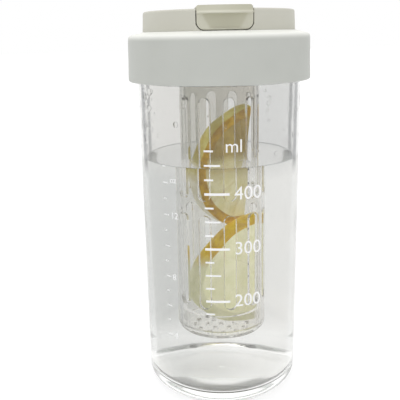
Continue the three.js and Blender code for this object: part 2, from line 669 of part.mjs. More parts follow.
// Materials
const clearPlastic = new THREE.MeshStandardMaterial({
  color: 0xe4e9ea,
  roughness: 0.08,
  metalness: 0,
  transparent: true,
  opacity: 0.35,
});
const collarWhite = new THREE.MeshStandardMaterial({ color: 0xe9eaec, roughness: 0.35, metalness: 0 });
const domeIvory = new THREE.MeshStandardMaterial({ color: 0xe6e4d8, roughness: 0.55, metalness: 0 });
const capCream = new THREE.MeshStandardMaterial({ color: 0xdad9bd, roughness: 0.5, metalness: 0 });
const linerWhite = new THREE.MeshStandardMaterial({ color: 0xeff0ee, roughness: 0.45, metalness: 0 });
const silicone = new THREE.MeshStandardMaterial({ color: 0xdfe2e0, roughness: 0.7, metalness: 0 });
const pinSteel = new THREE.MeshStandardMaterial({ color: 0xb9bcc0, roughness: 0.3, metalness: 1 });

// A named mesh for one piece, added to the group that carries it.
function addPiece(group, name, solid, material) {
  const mesh = new THREE.Mesh(geometryOf(solid), material);
  mesh.name = name;
  group.add(mesh);
}

// Assembly: the lid's frame sits on the cup's rim, and the flip cap and the infuser hang in it.
const tumbler = new THREE.Group();
addPiece(tumbler, "cup_body", cupBody(), clearPlastic);

const lid = new THREE.Group();
lid.position.z = RIM_HEIGHT;
tumbler.add(lid);
addPiece(lid, "lid_gasket", gasket(), silicone);
addPiece(lid, "lid_liner", lidLiner(), linerWhite);
addPiece(lid, "lid_collar", lidCollar(), collarWhite);
addPiece(lid, "lid_dome", lidDome(), domeIvory);

const flip = new THREE.Group();
flip.position.set(0, HINGE_OFFSET, HINGE_HEIGHT);
lid.add(flip);
addPiece(flip, "flip_cap", flipCap(), capCream);
addPiece(flip, "flip_pin", flipPin(), pinSteel);
addPiece(flip, "spout_seal", spoutSeal(), silicone);

const infuser = new THREE.Group();
infuser.position.z = PLATE_BOTTOM - SEAT_GAP;
lid.add(infuser);
addPiece(infuser, "infuser_tube", infuserTube(), clearPlastic);
addPiece(infuser, "infuser_strainer", infuserStrainer(), clearPlastic);

export default tumbler;
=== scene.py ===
import math
import random

import bmesh
import bpy
from mathutils import Matrix, Vector


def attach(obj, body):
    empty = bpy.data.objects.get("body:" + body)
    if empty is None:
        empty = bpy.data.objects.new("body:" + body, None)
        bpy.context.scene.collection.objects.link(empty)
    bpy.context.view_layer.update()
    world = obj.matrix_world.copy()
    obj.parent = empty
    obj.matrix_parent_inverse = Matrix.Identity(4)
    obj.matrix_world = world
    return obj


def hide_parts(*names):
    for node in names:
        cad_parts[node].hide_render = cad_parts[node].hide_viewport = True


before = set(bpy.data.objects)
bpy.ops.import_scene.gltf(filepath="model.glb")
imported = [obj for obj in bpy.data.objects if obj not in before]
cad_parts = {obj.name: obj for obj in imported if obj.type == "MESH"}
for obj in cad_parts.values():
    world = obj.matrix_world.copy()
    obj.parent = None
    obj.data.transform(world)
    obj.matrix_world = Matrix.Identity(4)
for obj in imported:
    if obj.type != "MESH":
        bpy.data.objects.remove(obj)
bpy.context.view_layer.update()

# Cup
# The drinking body: clear, tough plastic, moulded in one piece with a thick base on a
# recessed foot. The four thread ridges round its neck carry the lid.
MM = 0.001
CUP_RADIUS = 38.0
CUP_BORE = 35.5
CUP_SHOULDER = 151.8
CUP_CORNER = 6.8
CUP_INNER_CORNER = 5.5
CUP_FLOOR = 5.0
FOOT_RECESS = 24.5
FOOT_RECESS_DEPTH = 0.2
GATE_MARK = 1.5
GATE_HEIGHT = 0.1
NECK_RADIUS = 37.0
NECK_BORE = 34.6
NECK_FOOT = 152.0
NECK_SLOPE_TOP = 154.4
NECK_SLOPE_FOOT = 152.6
CUP_RIM = 166.0
RIM_ROUND = 0.8
THREAD_STARTS = 4
THREAD_LEAD = 24.0
THREAD_DEPTH = 1.2
THREAD_ROOT = 2.2
THREAD_CREST = 1.2
THREAD_FOOT = 155.6
THREAD_ARC = 110.0
THREAD_FADE = 12.0
FOOT_RECESS_SLOPE = 3.0
ROUND_STEPS = 144
CREASE = 35
CLEAR_BASE_LIT = (0.98, 0.978, 0.97, 1)
# Painted shade: the wall's tints, darker at the left below the water and a little darker at the right
# above it.
CLEAR_WALL_SHADED = (
    ((0.725, 0.73, 0.72, 1), (0.84, 0.838, 0.825, 1)),
    ((0.785, 0.782, 0.768, 1), (0.75, 0.752, 0.745, 1)),
)
# Painted shade: grey lines where the wall turns away at grazing angles, faint below the water and dark
# above it.
CLEAR_EDGE_SHADE = ((0.92, 0.925, 0.92, 1), (0.14, 0.145, 0.145, 1))
TINT_TURN = (-22.0, 22.0)
TINT_WANDER = 20.0
HIGH_TINT = (108.0, 118.0)
EDGE_START = (0.59, 0.67)
EDGE_END = (0.72, 0.79)
# Painted light: below these heights the thick base takes a paler tint and a faint glow, so that it looks
# brighter.
BASE_TINT_TOP = (4.0, 24.0)
BASE_PAINTED_GLOW = 0.03
BASE_GLOW_TOP = (10.0, 26.0)
BASE_PAINTED_LIGHT = (1, 1, 0.98, 1)
NO_LIGHT = (0, 0, 0, 1)
POLISH = 0.012
RUBBING = 0.02
RUBBED_PATCH = 7.0
RUBBED_SHARE = (0.55, 0.8)
FOOT_SCUFF = 0.03
FOOT_SCUFF_TOP = (0.5, 4.0)
FLOW_WAVE = 26.0
FLOW_DEPTH = 0.35
CUP_BEND = 1.4


class Tone:
    """A socket of a node tree. Sums and products of tones add Math nodes, and node() adds any
    other node."""

    def __init__(self, tree, socket=None):
        self.tree = tree
        self.socket = socket

    def node(self, kind, settings=None, sockets=None, out=0):
        """Adds a node: its settings first, then the values or links of its sockets."""
        made = self.tree.nodes.new(kind)
        for key, value in (settings or {}).items():
            if key == "stops":
                ramp = made.color_ramp
                while len(ramp.elements) < len(value):
                    ramp.elements.new(0.5)
                for element, (place, colour) in zip(ramp.elements, value):
                    element.position = place
                    element.color = colour
            else:
                setattr(made, key, value)
        for key, value in (sockets or {}).items():
            if isinstance(value, Tone):
                self.tree.links.new(value.socket, made.inputs[key])
            else:
                made.inputs[key].default_value = value
        return Tone(self.tree, made.outputs[out])

    def maths(self, operation, *values):
        return self.node("ShaderNodeMath", {"operation": operation}, dict(enumerate(values)))

    def __add__(self, other):
        return self.maths("ADD", self, other)

    def __radd__(self, other):
        return self.maths("ADD", other, self)

    def __sub__(self, other):
        return self.maths("SUBTRACT", self, other)

    def __rsub__(self, other):
        return self.maths("SUBTRACT", other, self)

    def __mul__(self, other):
        return self.maths("MULTIPLY", self, other)

    def __rmul__(self, other):
        return self.maths("MULTIPLY", other, self)

    def __truediv__(self, other):
        return self.maths("DIVIDE", self, other)

    def __rtruediv__(self, other):
        return self.maths("DIVIDE", other, self)

    def __pow__(self, other):
        return self.maths("POWER", self, other)

    def __rpow__(self, other):
        return self.maths("POWER", other, self)

    def axis(self, side):
        """How far a place is along X, Y or Z, which are sides 0, 1 and 2."""
        return self.node("ShaderNodeSeparateXYZ", None, {0: self}, side)

    def radius(self):
        """How far a place is from the tumbler's axis."""
        across, along = self.axis(0), self.axis(1)
        return (across * across + along * along) ** 0.5

    def noise(self, size, detail=2.0):
        """Soft noise whose lumps are about size mm across."""
        sockets = {"Vector": self, "Scale": 1 / (size * MM), "Detail": detail}
        return self.node("ShaderNodeTexNoise", None, sockets)

    def between(self, low, high):
        """0 under low, 1 over high, and a smooth step between."""
        stops = {"From Min": low, "From Max": high, "To Min": 0.0, "To Max": 1.0}
        settings = {"interpolation_type": "SMOOTHSTEP"}
        return self.node("ShaderNodeMapRange", settings, {"Value": self, **stops})

    def past(self, limits):
        """0 short of the first of two lengths in mm, 1 past the second."""
        return self.between(limits[0] * MM, limits[1] * MM)

    def blend(self, first, second):
        """The first colour where this is 0, the second where it is 1."""
        return self.node("ShaderNodeMix", {"data_type": "RGBA"}, {0: self, 6: first, 7: second}, 2)

    def relief(self, depth):
        """A surface normal raised by this height, depth in mm where it is 1."""
        return self.node("ShaderNodeBump", None, {"Height": self, "Strength": 1.0, "Distance": depth * MM})

    def into(self, shader, socket):
        """Feeds this to one of a shader's sockets."""
        self.tree.links.new(self.socket, shader.inputs[socket])


def finish(name, **sockets):
    """A new material, its shader with these constant sockets, and the place on the piece in metres."""
    material = bpy.data.materials.new(name)
    material.use_nodes = True
    shader = material.node_tree.nodes["Principled BSDF"]
    for socket, value in sockets.items():
        shader.inputs[socket.replace("_", " ")].default_value = value
    place = Tone(material.node_tree).node("ShaderNodeTexCoord", out="Object")
    return material, shader, place


def arc(r, z, radius, start, end, steps=8):
    """Points of a round about (r, z), from one angle to another in degrees."""
    angles = [math.radians(start + (end - start) * i / steps) for i in range(steps + 1)]
    return [(r + radius * math.cos(a), z + radius * math.sin(a)) for a in angles]


def rows(r, low, high, count):
    """Points up or down a straight wall, without its two ends."""
    return [(r, low + (high - low) * i / count) for i in range(1, count)]


def meshed(shape, name, sharp=CREASE):
    """A smooth-shaded mesh from a bmesh, creased where its faces turn by more than sharp degrees."""
    mesh = bpy.data.meshes.new(name)
    shape.to_mesh(mesh)
    shape.free()
    mesh.shade_smooth()
    mesh.set_sharp_from_angle(angle=math.radians(sharp))
    return mesh


def turned(name, section, steps=ROUND_STEPS, ridge=None, sharp=CREASE):
    """A mesh turned about Z from (radius, height) points in mm, anticlockwise round the section.
    ridge gives what is added to the radius at an angle, a radius and a height."""
    shape = bmesh.new()
    rings = []
    for r, z in section:
        ring = []
        for i in range(steps if r else 1):
            a = math.tau * i / steps
            out = r + (ridge(a, r, z) if ridge else 0)
            ring.append(shape.verts.new((out * math.cos(a) * MM, out * math.sin(a) * MM, z * MM)))
        rings.append(ring)
    pairs = list(zip(rings, rings[1:]))
    if section[0][0]:
        pairs.append((rings[-1], rings[0]))
    for low, high in pairs:
        for i in range(steps):
            below = [low[k % len(low)] for k in (i, i + 1)]
            above = [high[k % len(high)] for k in (i + 1, i)]
            corners = dict.fromkeys(below + above)
            if len(corners) > 2:
                shape.faces.new(list(corners))
    return meshed(shape, name, sharp)


def piece(mesh, material, body, stands_for=()):
    """A named piece with its finish, riding on a body and standing for CAD nodes."""
    made = bpy.data.objects.new(mesh.name, mesh)
    bpy.context.scene.collection.objects.link(made)
    mesh.materials.clear()
    mesh.materials.append(material)
    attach(made, body)
    if stands_for:
        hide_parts(*stands_for)
    return made


def cup_thread(angle, r, z):
    """How far the neck's thread stands out at an angle and a height."""
    if r < NECK_RADIUS or not NECK_FOOT < z < CUP_RIM - RIM_ROUND:
        return 0
    height = 0
    for start in range(THREAD_STARTS):
        along = (math.degrees(angle) - 360 * start / THREAD_STARTS) % 360
        if along > THREAD_ARC:
            continue
        fade = min(1, along / THREAD_FADE, (THREAD_ARC - along) / THREAD_FADE)
        away = abs(z - THREAD_FOOT - THREAD_LEAD * along / 360)
        flank = (THREAD_ROOT / 2 - away) / ((THREAD_ROOT - THREAD_CREST) / 2)
        height = max(height, THREAD_DEPTH * fade * min(1, max(0, flank)))
    return height


def clear_plastic(name, wall, edge, bend):
    """Polished clear plastic: faint flow waves, a haze of fine rubbing, and painted light and shade:
    a base made bright by a paler tint and a faint glow, and greyer edges painted at grazing angles.
    wall gives its (left, right) tints low down and then high up, which paint shade on one side, and
    edge its painted edge tints there."""
    material, shader, place = finish(name, IOR=bend, Transmission_Weight=1.0, Emission_Strength=BASE_PAINTED_GLOW)
    flow = place.noise(FLOW_WAVE, 1)
    height = place.axis(2)
    # Painted shade: the tint changes from left to right, and again above the water.
    right = (place.axis(0) + TINT_WANDER * MM * (flow - 0.5)).past(TINT_TURN)
    low, high = (right.blend(*pair) for pair in wall)
    above = height.past(HIGH_TINT)
    # Painted shade: a grey line at grazing angles, standing in for darker surroundings.
    facing = place.node("ShaderNodeLayerWeight", None, {"Blend": 0.5}, "Facing")
    grazing_shade = facing.between(*EDGE_START) - facing.between(*EDGE_END)
    tint = grazing_shade.blend(above.blend(low, high), above.blend(*edge))
    # Painted light: a paler tint and a faint glow low down on the base.
    height.past(BASE_TINT_TOP).blend(CLEAR_BASE_LIT, tint).into(shader, "Base Color")
    height.past(BASE_GLOW_TOP).blend(BASE_PAINTED_LIGHT, NO_LIGHT).into(shader, "Emission Color")
    rubbed = RUBBING * place.noise(RUBBED_PATCH, 3).between(*RUBBED_SHARE)
    scuffed = FOOT_SCUFF * (1 - height.past(FOOT_SCUFF_TOP))
    (POLISH + rubbed + scuffed).into(shader, "Roughness")
    flow.relief(FLOW_DEPTH).into(shader, "Normal")
    return material


cup_section = [
    (0, FOOT_RECESS_DEPTH - GATE_HEIGHT),
    (GATE_MARK, FOOT_RECESS_DEPTH - GATE_HEIGHT),
    (GATE_MARK + GATE_HEIGHT, FOOT_RECESS_DEPTH),
    (FOOT_RECESS - FOOT_RECESS_SLOPE, FOOT_RECESS_DEPTH),
    (FOOT_RECESS, 0),
    *arc(CUP_RADIUS - CUP_CORNER, CUP_CORNER, CUP_CORNER, -90, 0, 12),
    *rows(CUP_RADIUS, CUP_CORNER, CUP_SHOULDER, 12),
    (CUP_RADIUS, CUP_SHOULDER),
    (NECK_RADIUS, NECK_FOOT),
    *rows(NECK_RADIUS, NECK_FOOT, CUP_RIM - RIM_ROUND, 44),
    *arc(NECK_RADIUS - RIM_ROUND, CUP_RIM - RIM_ROUND, RIM_ROUND, 0, 90, 4),
    *arc(NECK_BORE + RIM_ROUND, CUP_RIM - RIM_ROUND, RIM_ROUND, 90, 180, 4),
    *rows(NECK_BORE, CUP_RIM - RIM_ROUND, NECK_SLOPE_TOP, 3),
    (NECK_BORE, NECK_SLOPE_TOP),
    (CUP_BORE, NECK_SLOPE_FOOT),
    *rows(CUP_BORE, NECK_SLOPE_FOOT, CUP_FLOOR + CUP_INNER_CORNER, 12),
    *arc(CUP_BORE - CUP_INNER_CORNER, CUP_FLOOR + CUP_INNER_CORNER, CUP_INNER_CORNER, 0, -90, 12),
    (CUP_BORE / 2, CUP_FLOOR),
    (0, CUP_FLOOR),
]
clear_cup = clear_plastic("clear_cup", CLEAR_WALL_SHADED, CLEAR_EDGE_SHADE, CUP_BEND)
cup_mesh = turned("cup", cup_section, ridge=cup_thread, sharp=20)
piece(cup_mesh, clear_cup, "cup", ["cup_body"])

# Measuring marks
# White pad-printed ink on the cup's outside: a millilitre scale down the front and a
# smaller one in ounces round to the left. A thin skin of ink, fused to the plastic.
INK_LIFT = 0.02
INK_SKIN = 0.05
INK_FACET = 0.9
WELD = MM / 1000
ML_HEIGHT = 1000 / (math.pi * CUP_BORE**2)
OUNCE_ML = 29.57
FRONT_SCALE = -87.0
FRONT_LOWEST = 175
FRONT_HIGHEST = 475
FRONT_STEP = 25
FRONT_LEFT = -12.0
FRONT_LONG = 11.0
FRONT_MIDDLE = 7.0
FRONT_SHORT = 4.0
FRONT_BOLD = 0.55
FRONT_FINE = 0.4
FRONT_FIGURE = 8.5
FRONT_UNIT = 8.0
FRONT_UNIT_LEFT = -3.0
FRONT_UNIT_ML = 482
SIDE_SCALE = -132.0
SIDE_LOWEST = 4
SIDE_HIGHEST = 15
SIDE_LEFT = -3.0
SIDE_LONG = 3.0
SIDE_SHORT = 1.6
SIDE_FINE = 0.22
SIDE_FIGURE = 4.2
SIDE_UNIT = 3.8
SIDE_UNIT_OUNCES = 14.2
FIGURE_LEFT = 1.0
INK_WHITE = (0.96, 0.96, 0.96, 1)
INK_WORN = (0.9, 0.9, 0.91, 1)


def wrapped(shape, angle, height):
    """Lays flat ink, drawn in X and Y in mm, on the cup at an angle in degrees and a height."""
    for vert in shape.verts:
        a = math.radians(angle) + vert.co.x / CUP_RADIUS
        r = CUP_RADIUS + INK_LIFT
        vert.co = Vector((r * math.cos(a), r * math.sin(a), height + vert.co.y)) * MM


def flat_bar(left, right, low, high):
    """A flat ink bar in facets narrow enough to follow the cup."""
    shape = bmesh.new()
    count = max(1, round((right - left) / INK_FACET))
    edges = []
    for i in range(count + 1):
        x = left + (right - left) * i / count
        edges.append((shape.verts.new((x, low, 0)), shape.verts.new((x, high, 0))))
    for (a, b), (c, d) in zip(edges, edges[1:]):
        shape.faces.new((a, c, d, b))
    return shape


def flat_figure(words, size, left):
    """Flat ink figures of a height in mm, cut into facets narrow enough to follow the cup."""
    curve = bpy.data.curves.new("figure", "FONT")
    curve.body = words
    curve.size = size
    curve.align_y = "CENTER"
    text = bpy.data.objects.new("figure", curve)
    bpy.context.scene.collection.objects.link(text)
    bpy.context.view_layer.update()
    shape = bmesh.new()
    shape.from_mesh(text.evaluated_get(bpy.context.evaluated_depsgraph_get()).to_mesh())
    bpy.data.objects.remove(text)
    bpy.data.curves.remove(curve)
    right = max(vert.co.x for vert in shape.verts)
    x = INK_FACET
    while x < right:
        parts = shape.verts[:] + shape.edges[:] + shape.faces[:]
        bmesh.ops.bisect_plane(shape, geom=parts, plane_co=(x, 0, 0), plane_no=(1, 0, 0))
        x += INK_FACET
    for vert in shape.verts:
        vert.co.x += left
    return shape


def printed(name, marks):
    """One mesh of ink from (flat ink, angle, height) marks."""
    mesh = bpy.data.meshes.new(name)
    ink = bmesh.new()
    for shape, angle, height in marks:
        wrapped(shape, angle, height)
        part = bpy.data.meshes.new("part")
        shape.to_mesh(part)
        shape.free()
        ink.from_mesh(part)
        bpy.data.meshes.remove(part)
    bmesh.ops.remove_doubles(ink, verts=ink.verts, dist=WELD)
    bmesh.ops.recalc_face_normals(ink, faces=ink.faces)
    for face in ink.faces:
        middle = face.calc_center_median()
        if face.normal.dot(Vector((middle.x, middle.y, 0))) < 0:
            face.normal_flip()
    ink.to_mesh(mesh)
    ink.free()
    return mesh


ink_white, shader, place = finish("ink_white")
place.noise(0.5, 3).between(0.35, 0.75).blend(INK_WHITE, INK_WORN).into(shader, "Base Color")
(0.36 + 0.2 * place.noise(1.5)).into(shader, "Roughness")
place.noise(0.35).relief(0.01).into(shader, "Normal")

front_marks = []
for millilitres in range(FRONT_LOWEST, FRONT_HIGHEST + 1, FRONT_STEP):
    height = CUP_FLOOR + millilitres * ML_HEIGHT
    reach, thick = FRONT_SHORT, FRONT_FINE
    if millilitres % 50 == 0:
        reach = FRONT_MIDDLE
    if millilitres % 100 == 0:
        reach, thick = FRONT_LONG, FRONT_BOLD
        figure = flat_figure(str(millilitres), FRONT_FIGURE, FIGURE_LEFT)
        front_marks.append((figure, FRONT_SCALE, height))
    bar = flat_bar(FRONT_LEFT, FRONT_LEFT + reach, -thick, thick)
    front_marks.append((bar, FRONT_SCALE, height))
unit = flat_figure("ml", FRONT_UNIT, FRONT_UNIT_LEFT)
front_marks.append((unit, FRONT_SCALE, CUP_FLOOR + FRONT_UNIT_ML * ML_HEIGHT))
side_marks = []
for ounces in range(SIDE_LOWEST, SIDE_HIGHEST + 1):
    height = CUP_FLOOR + ounces * OUNCE_ML * ML_HEIGHT
    reach = SIDE_SHORT if ounces % 2 else SIDE_LONG
    bar = flat_bar(SIDE_LEFT, SIDE_LEFT + reach, -SIDE_FINE, SIDE_FINE)
    side_marks.append((bar, SIDE_SCALE, height))
    if ounces % 4 == 0:
        figure = flat_figure(str(ounces), SIDE_FIGURE, FIGURE_LEFT)
        side_marks.append((figure, SIDE_SCALE, height))
unit = flat_figure("oz", SIDE_UNIT, FIGURE_LEFT)
side_marks.append((unit, SIDE_SCALE, CUP_FLOOR + SIDE_UNIT_OUNCES * OUNCE_ML * ML_HEIGHT))
for name, marks in (("front_scale", front_marks), ("side_scale", side_marks)):
    scale = piece(printed(name, marks), ink_white, "cup")
    skin = scale.modifiers.new("skin", "SOLIDIFY")
    skin.thickness = INK_SKIN * MM
    skin.offset = 1.0

# Water
# The drink in the cup, up to where the photograph shows it, creeping up a little where it
# meets the wall. It reaches a hair into the plastic, so that no film of air shows.
WATER_LEVEL = 116.5
WATER_OVERLAP = 0.05
CREEP_HEIGHT = 0.6
CREEP_REACH = 0.9
CREEP_STEPS = (0.0, 0.3, 0.6, 1.0, 1.5, 2.2, 3.0, 4.2, 6.0)
CREEP_START = (0.05, 0.3)
CREEP_END = (1.0, 1.2)
WATER_RINGS = (20.0, 10.0, 0)
WATER_TINT = (0.985, 0.985, 0.98, 1)
WATER_TINT_DEEP = (0.97, 0.975, 0.975, 1)
# Painted shade: a grey line along the water's edge, where it creeps up the wall.
CREEP_SHADE = (0.62, 0.63, 0.62, 1)
WATER_BEND = 1.15

water_radius = CUP_BORE + WATER_OVERLAP
water_corner = CUP_INNER_CORNER + WATER_OVERLAP
creep = []
for reach in CREEP_STEPS:
    rise = CREEP_HEIGHT * math.exp(-reach / CREEP_REACH)
    creep.append((water_radius - reach, WATER_LEVEL + rise))
water_section = [
    (0, CUP_FLOOR - WATER_OVERLAP),
    (CUP_BORE / 2, CUP_FLOOR - WATER_OVERLAP),
    *arc(CUP_BORE - CUP_INNER_CORNER, CUP_FLOOR + CUP_INNER_CORNER, water_corner, -90, 0, 12),
    *rows(water_radius, CUP_FLOOR + CUP_INNER_CORNER, WATER_LEVEL + CREEP_HEIGHT, 10),
    *creep,
    *[(ring, WATER_LEVEL) for ring in WATER_RINGS],
]
water_finish, shader, place = finish("water", IOR=WATER_BEND, Transmission_Weight=1.0, Roughness=0.0)
drift = place.noise(30, 1).between(0.3, 0.7).blend(WATER_TINT, WATER_TINT_DEEP)
above_level = place.axis(2) - WATER_LEVEL * MM
# Painted shade: the grey line at the water's edge.
creeping = above_level.past(CREEP_START) - above_level.past(CREEP_END)
creeping.blend(drift, CREEP_SHADE).into(shader, "Base Color")
place.noise(14, 1).relief(0.12).into(shader, "Normal")
piece(turned("water", water_section, sharp=60), water_finish, "cup")

# Drops
# Condensed water that clings to the inside of the cup's wall above the drink: small flat
# drops all round, and a crowd of them at the left.
DROP_COUNT = 120
GATHERED_DROPS = 55
GATHERED_LOW = 131.0
GATHERED_BEARING = 202
GATHERED_SPREAD = 6
DROP_LOW = 119.5
DROP_HIGH = 150.0
DROP_SMALLEST = 0.35
DROP_GROWTH = 1.1
DROP_BULGE = 0.7
DROP_SAG = 0.5
DROP_SIDES = 12
DROP_RINGS = 4
random.seed(7)


def add_drop(shape, angle, height, radius, sag):
    """One flat drop on the wall, a little longer below than above."""
    outward = Vector((math.cos(angle), math.sin(angle), 0))
    across = Vector((-math.sin(angle), math.cos(angle), 0))
    foot = outward * (CUP_BORE + WATER_OVERLAP)
    rings = []
    for ring in range(DROP_RINGS):
        rise = math.pi / 2 * ring / DROP_RINGS
        verts = []
        for side in range(DROP_SIDES):
            turn = math.tau * side / DROP_SIDES
            stretch = 1 + sag * max(0, -math.sin(turn))
            flat = across * math.cos(turn) + Vector((0, 0, math.sin(turn) * stretch))
            bulge = outward * radius * DROP_BULGE * math.sin(rise)
            spot = foot + flat * radius * math.cos(rise) - bulge
            verts.append(shape.verts.new((spot + Vector((0, 0, height))) * MM))
        rings.append(verts)
    top = shape.verts.new((foot - outward * radius * DROP_BULGE + Vector((0, 0, height))) * MM)
    shape.faces.new(rings[0])
    for low, high in zip(rings, rings[1:]):
        for i in range(DROP_SIDES):
            j = (i + 1) % DROP_SIDES
            shape.faces.new((low[j], low[i], high[i], high[j]))
    for i in range(DROP_SIDES):
        shape.faces.new((rings[-1][(i + 1) % DROP_SIDES], rings[-1][i], top))


drops_shape = bmesh.new()
for drop in range(DROP_COUNT):
    if drop < GATHERED_DROPS:
        bearing, lowest = random.gauss(GATHERED_BEARING, GATHERED_SPREAD), GATHERED_LOW
    else:
        bearing, lowest = random.uniform(0, 360), DROP_LOW
    height = random.uniform(lowest, DROP_HIGH)
    radius = DROP_SMALLEST + DROP_GROWTH * random.random() ** 3
    add_drop(drops_shape, math.radians(bearing), height, radius, DROP_SAG * random.random())
piece(meshed(drops_shape, "drops", sharp=60), water_finish, "cup")

# Lid gasket
# A soft ring, moulded in silicone, that lies on the cup's rim under the lid. Screwing the
# lid down keeps it tight, and it keeps the drink in.
GASKET_BORE = 34.5
GASKET_RADIUS = 37.4
GASKET_LOW = 166.3
GASKET_HIGH = 168.3
GASKET_ROUND = 0.5
SILICONE = (0.78, 0.79, 0.78, 1)
SILICONE_DULL = (0.7, 0.72, 0.71, 1)

gasket_section = [
    *arc(GASKET_RADIUS - GASKET_ROUND, GASKET_LOW + GASKET_ROUND, GASKET_ROUND, -90, 0, 4),
    *arc(GASKET_RADIUS - GASKET_ROUND, GASKET_HIGH - GASKET_ROUND, GASKET_ROUND, 0, 90, 4),
    *arc(GASKET_BORE + GASKET_ROUND, GASKET_HIGH - GASKET_ROUND, GASKET_ROUND, 90, 180, 4),
    *arc(GASKET_BORE + GASKET_ROUND, GASKET_LOW + GASKET_ROUND, GASKET_ROUND, 180, 270, 4),
]
silicone, shader, place = finish("silicone", Subsurface_Weight=0.2, Subsurface_Scale=0.001)
place.noise(3, 3).between(0.35, 0.7).blend(SILICONE, SILICONE_DULL).into(shader, "Base Color")
(0.5 + 0.25 * place.noise(1.2)).into(shader, "Roughness")
place.noise(0.4, 3).relief(0.02).into(shader, "Normal")
piece(turned("gasket", gasket_section), silicone, "gasket", ["lid_gasket"])

# Lid liner
# The inner lid, moulded from milky white plastic: thread, seal skirt, the infuser's spigot,
# the drinking spout and the air vent. It snaps into the collar from below.
LINER_WHITE = (0.84, 0.85, 0.84, 1)
LINER_SHADE = (0.78, 0.79, 0.785, 1)
# Painted light: the liner's hidden rim glows, to brighten what the cup's wall carries to it.
LINER_PAINTED_GLOW = 0.8
LINER_HIDDEN = (32.5, 33.5)
MOULD_CREASE = 38
FLAT_TURN = 0.5


def moulded(node, name):
    """A CAD node's solid as one welded, smooth-shaded mesh, with its flat faces joined."""
    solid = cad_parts[node].data
    shape = bmesh.new()
    verts = [shape.verts.new(vert.co) for vert in solid.vertices]
    for polygon in solid.polygons:
        shape.faces.new([verts[i] for i in polygon.vertices])
    bmesh.ops.remove_doubles(shape, verts=shape.verts, dist=WELD)
    flat = math.radians(FLAT_TURN)
    bmesh.ops.dissolve_limit(shape, angle_limit=flat, verts=shape.verts, edges=shape.edges)
    return meshed(shape, name, MOULD_CREASE)


def even(made, soften=0.0):
    """Rounds a moulded piece's creases by soften mm and evens out its shading."""
    if soften:
        bevel = made.modifiers.new("soften", "BEVEL")
        bevel.width = soften * MM
        bevel.segments = 2
        bevel.limit_method = "ANGLE"
        bevel.angle_limit = math.radians(MOULD_CREASE)
        bevel.harden_normals = True
    weighted = made.modifiers.new("even", "WEIGHTED_NORMAL")
    weighted.keep_sharp = True


def matt_plastic(name, light, shade, rough, grain, depth, toned=None, lit=None, **sockets):
    """Opaque moulded plastic: a slow drift of tone, and a fine etched grain in mm. toned gives the
    tone at a place from the tone that drifts there, and lit the colour of its glow there."""
    material, shader, place = finish(name, **sockets)
    tone = place.noise(18, 3).between(0.3, 0.7).blend(light, shade)
    if toned:
        tone = toned(place, tone)
    tone.into(shader, "Base Color")
    if lit:
        lit(place).into(shader, "Emission Color")
    fine = place.noise(grain, 2)
    (rough - 0.06 + 0.08 * fine + 0.05 * place.noise(9, 3)).into(shader, "Roughness")
    fine.relief(depth).into(shader, "Normal")
    return material


def hidden_rim(place):
    """Painted light for the liner: a glow only round the rim that the collar hides, where the cup's wall
    ends.
    """
    return place.radius().past(LINER_HIDDEN).blend(NO_LIGHT, LINER_WHITE)


liner_white = matt_plastic(
    "liner_white", LINER_WHITE, LINER_SHADE, 0.38, 0.8, 0.01, lit=hidden_rim, Emission_Strength=LINER_PAINTED_GLOW
)
even(piece(moulded("lid_liner", "liner"), liner_white, "lid", ["lid_liner"]))

# Lid collar
# The smooth white ring that the hand turns, moulded in satin plastic with a rounded
# shoulder. It hides the liner's thread and carries the dome.
COLLAR_RADIUS = 42.35
COLLAR_BORE = 40.6
COLLAR_OPENING = 33.0
COLLAR_LOW = 152.3
COLLAR_ROOF = 170.9
COLLAR_CROWN = 173.8
COLLAR_DRAFT = 0.6
COLLAR_SLOPE = 0.9
COLLAR_SHOULDER = 2.0
COLLAR_FOOT = 0.75
COLLAR_FOOT_BEVEL = 0.3
COLLAR_FACE_LOW = 1.5
COLLAR_FACE_HIGH = 0.7
COLLAR_EASE = 0.02
COLLAR_LIP = 174.05
COLLAR_LIP_RADIUS = 35.1
COLLAR_LIP_FOOT = 35.6
COLLAR_WHITE = (0.54, 0.553, 0.52, 1)
COLLAR_SHADE = (0.52, 0.533, 0.5, 1)
# Painted light: the paler tone of the shoulder, lit from above.
COLLAR_TOP_LIT = (0.84, 0.845, 0.8, 1)
COLLAR_TOP_START = (170.0, 172.9)

shoulder_radius = COLLAR_RADIUS - COLLAR_DRAFT - COLLAR_SHOULDER
shoulder_height = COLLAR_CROWN - COLLAR_SLOPE - COLLAR_SHOULDER
collar_section = [
    (COLLAR_OPENING, COLLAR_ROOF),
    (COLLAR_BORE, COLLAR_ROOF),
    *rows(COLLAR_BORE, COLLAR_ROOF, COLLAR_LOW + COLLAR_FOOT, 3),
    (COLLAR_BORE, COLLAR_LOW + COLLAR_FOOT),
    (COLLAR_BORE + COLLAR_FOOT_BEVEL, COLLAR_LOW),
    *arc(COLLAR_RADIUS - COLLAR_FOOT, COLLAR_LOW + COLLAR_FOOT, COLLAR_FOOT, -90, 0, 6),
    (COLLAR_RADIUS - COLLAR_EASE, COLLAR_LOW + COLLAR_FACE_LOW),
    (COLLAR_RADIUS - COLLAR_DRAFT / 2, (COLLAR_LOW + shoulder_height) / 2),
    (COLLAR_RADIUS - COLLAR_DRAFT + COLLAR_EASE, shoulder_height - COLLAR_FACE_HIGH),
    *arc(shoulder_radius, shoulder_height, COLLAR_SHOULDER, 0, 85, 10),
    (COLLAR_LIP_FOOT, COLLAR_CROWN),
    (COLLAR_LIP_RADIUS, COLLAR_LIP),
    (COLLAR_OPENING, COLLAR_LIP),
]


def bright_crown(place, side):
    """The collar's tone: paler over its rounded shoulder, painted light from above."""
    return place.axis(2).past(COLLAR_TOP_START).blend(side, COLLAR_TOP_LIT)


